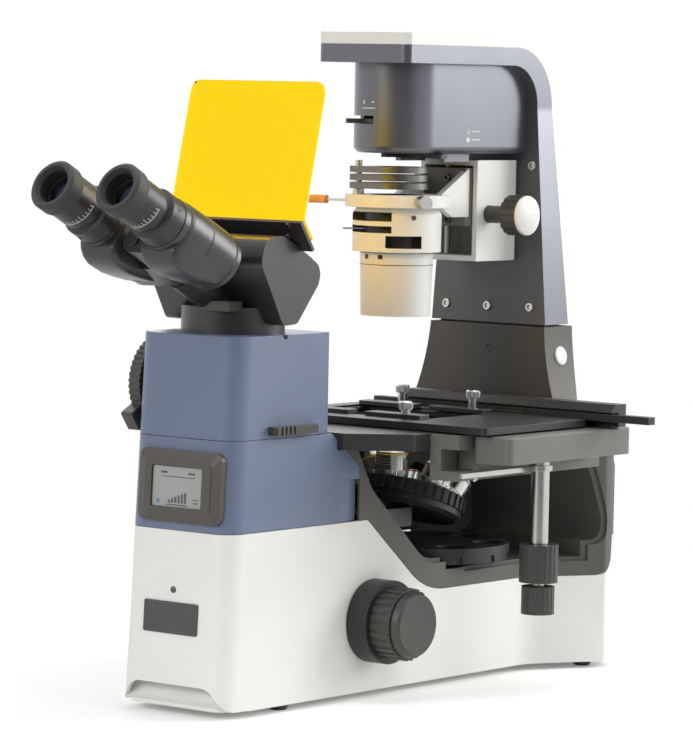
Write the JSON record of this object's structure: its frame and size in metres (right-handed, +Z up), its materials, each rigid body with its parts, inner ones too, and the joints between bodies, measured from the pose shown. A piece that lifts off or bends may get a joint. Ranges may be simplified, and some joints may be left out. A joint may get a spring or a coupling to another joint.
{
  "type": "inverted microscope",
  "caption": "Inverted laboratory microscope with a binocular head, amber shield, display, moving specimen stage over a tilted nosepiece, and a lamp arm holding a condenser above the stage.",
  "frame": {"origin": "on the desk plane, straight under the optical axis of the condenser and the objective in use", "axes": "+Z up from the desk, -Y towards the user, +X to the user's right, where the stage drive hangs"},
  "size_m": [0.2763, 0.5476, 0.4755],
  "materials": {
    "white_paint": "satin",
    "slate_paint": "satin",
    "arm_paint": "satin",
    "dark_paint": "fine texture",
    "black_paint": "satin",
    "black_anodised": "black anodised",
    "grey_anodised": "satin",
    "black_plastic": "matte",
    "gloss_black": "semi gloss",
    "satin_steel": "brushed",
    "chrome": "polished",
    "amber_acrylic": "clear amber",
    "foot_rubber": "matte",
    "cup_rubber": "matte",
    "front_mirror": "polished"
  },
  "bodies": {
    "frame": {"base_casing": "white_paint", "base_plate": "black_paint", "rubber_feet": "foot_rubber", "front_tower": "slate_paint", "upper_block": "slate_paint", "display_bezel": "gloss_black", "valley_liner": "dark_paint", "rear_panel": "black_paint", "power_inlet": "black_plastic", "stage_plate": "grey_anodised", "stage_guide": "black_anodised", "focus_guide": "black_paint", "fold_mirror": "front_mirror", "column_arm": "arm_paint", "column_cover": "white_paint", "column_base": "dark_paint", "lamp_housing": "arm_paint", "lamp_module": "grey_anodised", "slide_housing": "white_paint", "guide_rods": "satin_steel", "head_mount_ring": "black_paint", "binocular_body": "black_paint", "emission_shield": "amber_acrylic", "shield_bracket": "black_paint"},
    "stage_y_carriage": {"stage_carriage": "grey_anodised", "stage_rail": "black_anodised", "drive_column": "satin_steel"},
    "stage_x_holder": {"specimen_holder": "black_anodised", "holder_rack": "black_anodised", "holder_jaws": "black_anodised", "holder_screws": "satin_steel"},
    "y_knob": {"y_drive_knob": "black_plastic"},
    "x_knob": {"x_drive_knob": "black_plastic"},
    "nosepiece_lift_arm": {"nosepiece_bracket": "black_paint"},
    "nosepiece": {"nosepiece_turret": "black_anodised", "objectives": "chrome"},
    "coarse_focus": {"focus_shaft": "satin_steel", "coarse_knobs": "black_plastic"},
    "fine_focus": {"fine_knobs": "black_plastic"},
    "focus_tension": {"tension_ring": "black_anodised"},
    "filter_disc": {"filter_turret": "black_anodised"},
    "condenser": {"condenser_carrier": "white_paint", "condenser_body": "white_paint", "condenser_barrel": "white_paint"},
    "condenser_drive": {"condenser_knob": "black_plastic"},
    "aperture": {"aperture_lever": "satin_steel"},
    "filter_low": {"filter_holder_lower": "black_anodised"},
    "filter_mid": {"filter_holder_middle": "black_anodised"},
    "filter_high": {"filter_holder_upper": "black_anodised"},
    "condenser_clamp": {"condenser_clamp_screw": "satin_steel"},
    "field_diaphragm": {"field_lever": "black_plastic"},
    "shutter": {"shutter_slide": "black_anodised"},
    "tube_left": {"tube_arm_left": "black_paint"},
    "tube_right": {"tube_arm_right": "black_paint"},
    "dioptre_left": {"eyepiece_left": "black_anodised", "eyecup_left": "cup_rubber"},
    "dioptre_right": {"eyepiece_right": "black_anodised", "eyecup_right": "cup_rubber"},
    "selector": {"selector_wheel": "black_plastic"},
    "path_select": {"path_slider": "black_plastic"}
  },
  "joints": [
    {"name": "stage_y_slide", "type": "slide", "parent": "frame", "child": "stage_y_carriage", "axis": [0, 1, 0], "range_m": [-0.035, 0.022]},
    {"name": "stage_x_slide", "type": "slide", "parent": "stage_y_carriage", "child": "stage_x_holder", "axis": [1, 0, 0], "range_m": [-0.05, 0.035]},
    {"name": "y_knob_turn", "type": "hinge", "parent": "stage_y_carriage", "child": "y_knob", "pos_m": [0.127, 0.011, 0.11], "axis": [0, 0, 1], "range_deg": [-360, 240]},
    {"name": "x_knob_turn", "type": "hinge", "parent": "stage_y_carriage", "child": "x_knob", "pos_m": [0.127, 0.011, 0.11], "axis": [0, 0, 1], "range_deg": [-520, 370]},
    {"name": "nosepiece_lift", "type": "slide", "parent": "frame", "child": "nosepiece_lift_arm", "axis": [0, 0, 1], "range_m": [-0.003, 0.0065]},
    {"name": "nosepiece_turn", "type": "hinge", "parent": "nosepiece_lift_arm", "child": "nosepiece", "pos_m": [0, 0.02368, 0.13738], "axis": [0, 0.342, 0.9397], "continuous": true},
    {"name": "coarse_turn", "type": "hinge", "parent": "frame", "child": "coarse_focus", "pos_m": [0, -0.082, 0.0553], "axis": [1, 0, 0], "range_deg": [-32, 66]},
    {"name": "fine_turn", "type": "hinge", "parent": "coarse_focus", "child": "fine_focus", "pos_m": [0, -0.082, 0.0553], "axis": [1, 0, 0], "continuous": true},
    {"name": "tension_turn", "type": "hinge", "parent": "frame", "child": "focus_tension", "pos_m": [0, -0.082, 0.0553], "axis": [1, 0, 0], "range_deg": [-90, 90]},
    {"name": "filter_disc_turn", "type": "hinge", "parent": "frame", "child": "filter_disc", "pos_m": [0, 0.045, 0.0875], "axis": [0, 0, 1], "continuous": true},
    {"name": "condenser_lift", "type": "slide", "parent": "frame", "child": "condenser", "axis": [0, 0, 1], "range_m": [-0.021, 0.001]},
    {"name": "condenser_knob_turn", "type": "hinge", "parent": "frame", "child": "condenser_drive", "pos_m": [0, 0.077, 0.343], "axis": [1, 0, 0], "range_deg": [-130, 10]},
    {"name": "aperture_turn", "type": "hinge", "parent": "condenser", "child": "aperture", "pos_m": [0, 0, 0.33], "axis": [0, 0, 1], "range_deg": [-5, 54]},
    {"name": "filter_low_swing", "type": "hinge", "parent": "condenser", "child": "filter_low", "pos_m": [-0.025, -0.015, 0.3616], "axis": [0, 0, 1], "range_deg": [-100, 10]},
    {"name": "filter_mid_swing", "type": "hinge", "parent": "condenser", "child": "filter_mid", "pos_m": [-0.025, -0.015, 0.3616], "axis": [0, 0, 1], "range_deg": [-100, 10]},
    {"name": "filter_high_swing", "type": "hinge", "parent": "condenser", "child": "filter_high", "pos_m": [-0.025, -0.015, 0.3616], "axis": [0, 0, 1], "range_deg": [-100, 10]},
    {"name": "clamp_turn", "type": "hinge", "parent": "condenser", "child": "condenser_clamp", "pos_m": [0.03439, -0.01752, 0.35305], "axis": [0.891, -0.454, 0], "range_deg": [-180, 180]},
    {"name": "field_turn", "type": "hinge", "parent": "frame", "child": "field_diaphragm", "pos_m": [0, 0, 0.412], "axis": [0, 0, 1], "range_deg": [-22, 42]},
    {"name": "shutter_slide_move", "type": "slide", "parent": "frame", "child": "shutter", "axis": [0, 1, 0], "range_m": [-0.01, 0.01]},
    {"name": "tube_left_swing", "type": "hinge", "parent": "frame", "child": "tube_left", "pos_m": [0, -0.23361, 0.30095], "axis": [0, -0.891, 0.454], "range_deg": [-11, 20]},
    {"name": "tube_right_swing", "type": "hinge", "parent": "frame", "child": "tube_right", "pos_m": [0, -0.23361, 0.30095], "axis": [0, -0.891, 0.454], "range_deg": [-20, 11]},
    {"name": "dioptre_left_turn", "type": "hinge", "parent": "tube_left", "child": "dioptre_left", "pos_m": [-0.0295, -0.229, 0.31], "axis": [0, -0.891, 0.454], "range_deg": [-180, 180]},
    {"name": "dioptre_right_turn", "type": "hinge", "parent": "tube_right", "child": "dioptre_right", "pos_m": [0.0295, -0.229, 0.31], "axis": [0, -0.891, 0.454], "range_deg": [-180, 180]},
    {"name": "selector_turn", "type": "hinge", "parent": "frame", "child": "selector", "pos_m": [0, -0.191, 0.2255], "axis": [1, 0, 0], "range_deg": [-60, 30]},
    {"name": "path_slide", "type": "slide", "parent": "frame", "child": "path_select", "axis": [0, 1, 0], "range_m": [-0.008, 0.008]}
  ],
  "couplings": [
    {"joint": "y_knob_turn", "follows": "stage_y_slide", "rad_per_m": 175},
    {"joint": "x_knob_turn", "follows": "stage_x_slide", "rad_per_m": 175},
    {"joint": "coarse_turn", "follows": "nosepiece_lift", "rad_per_m": 166.7},
    {"joint": "condenser_knob_turn", "follows": "condenser_lift", "rad_per_m": 104.7},
    {"joint": "tube_right_swing", "follows": "tube_left_swing", "ratio": -1}
  ]
}
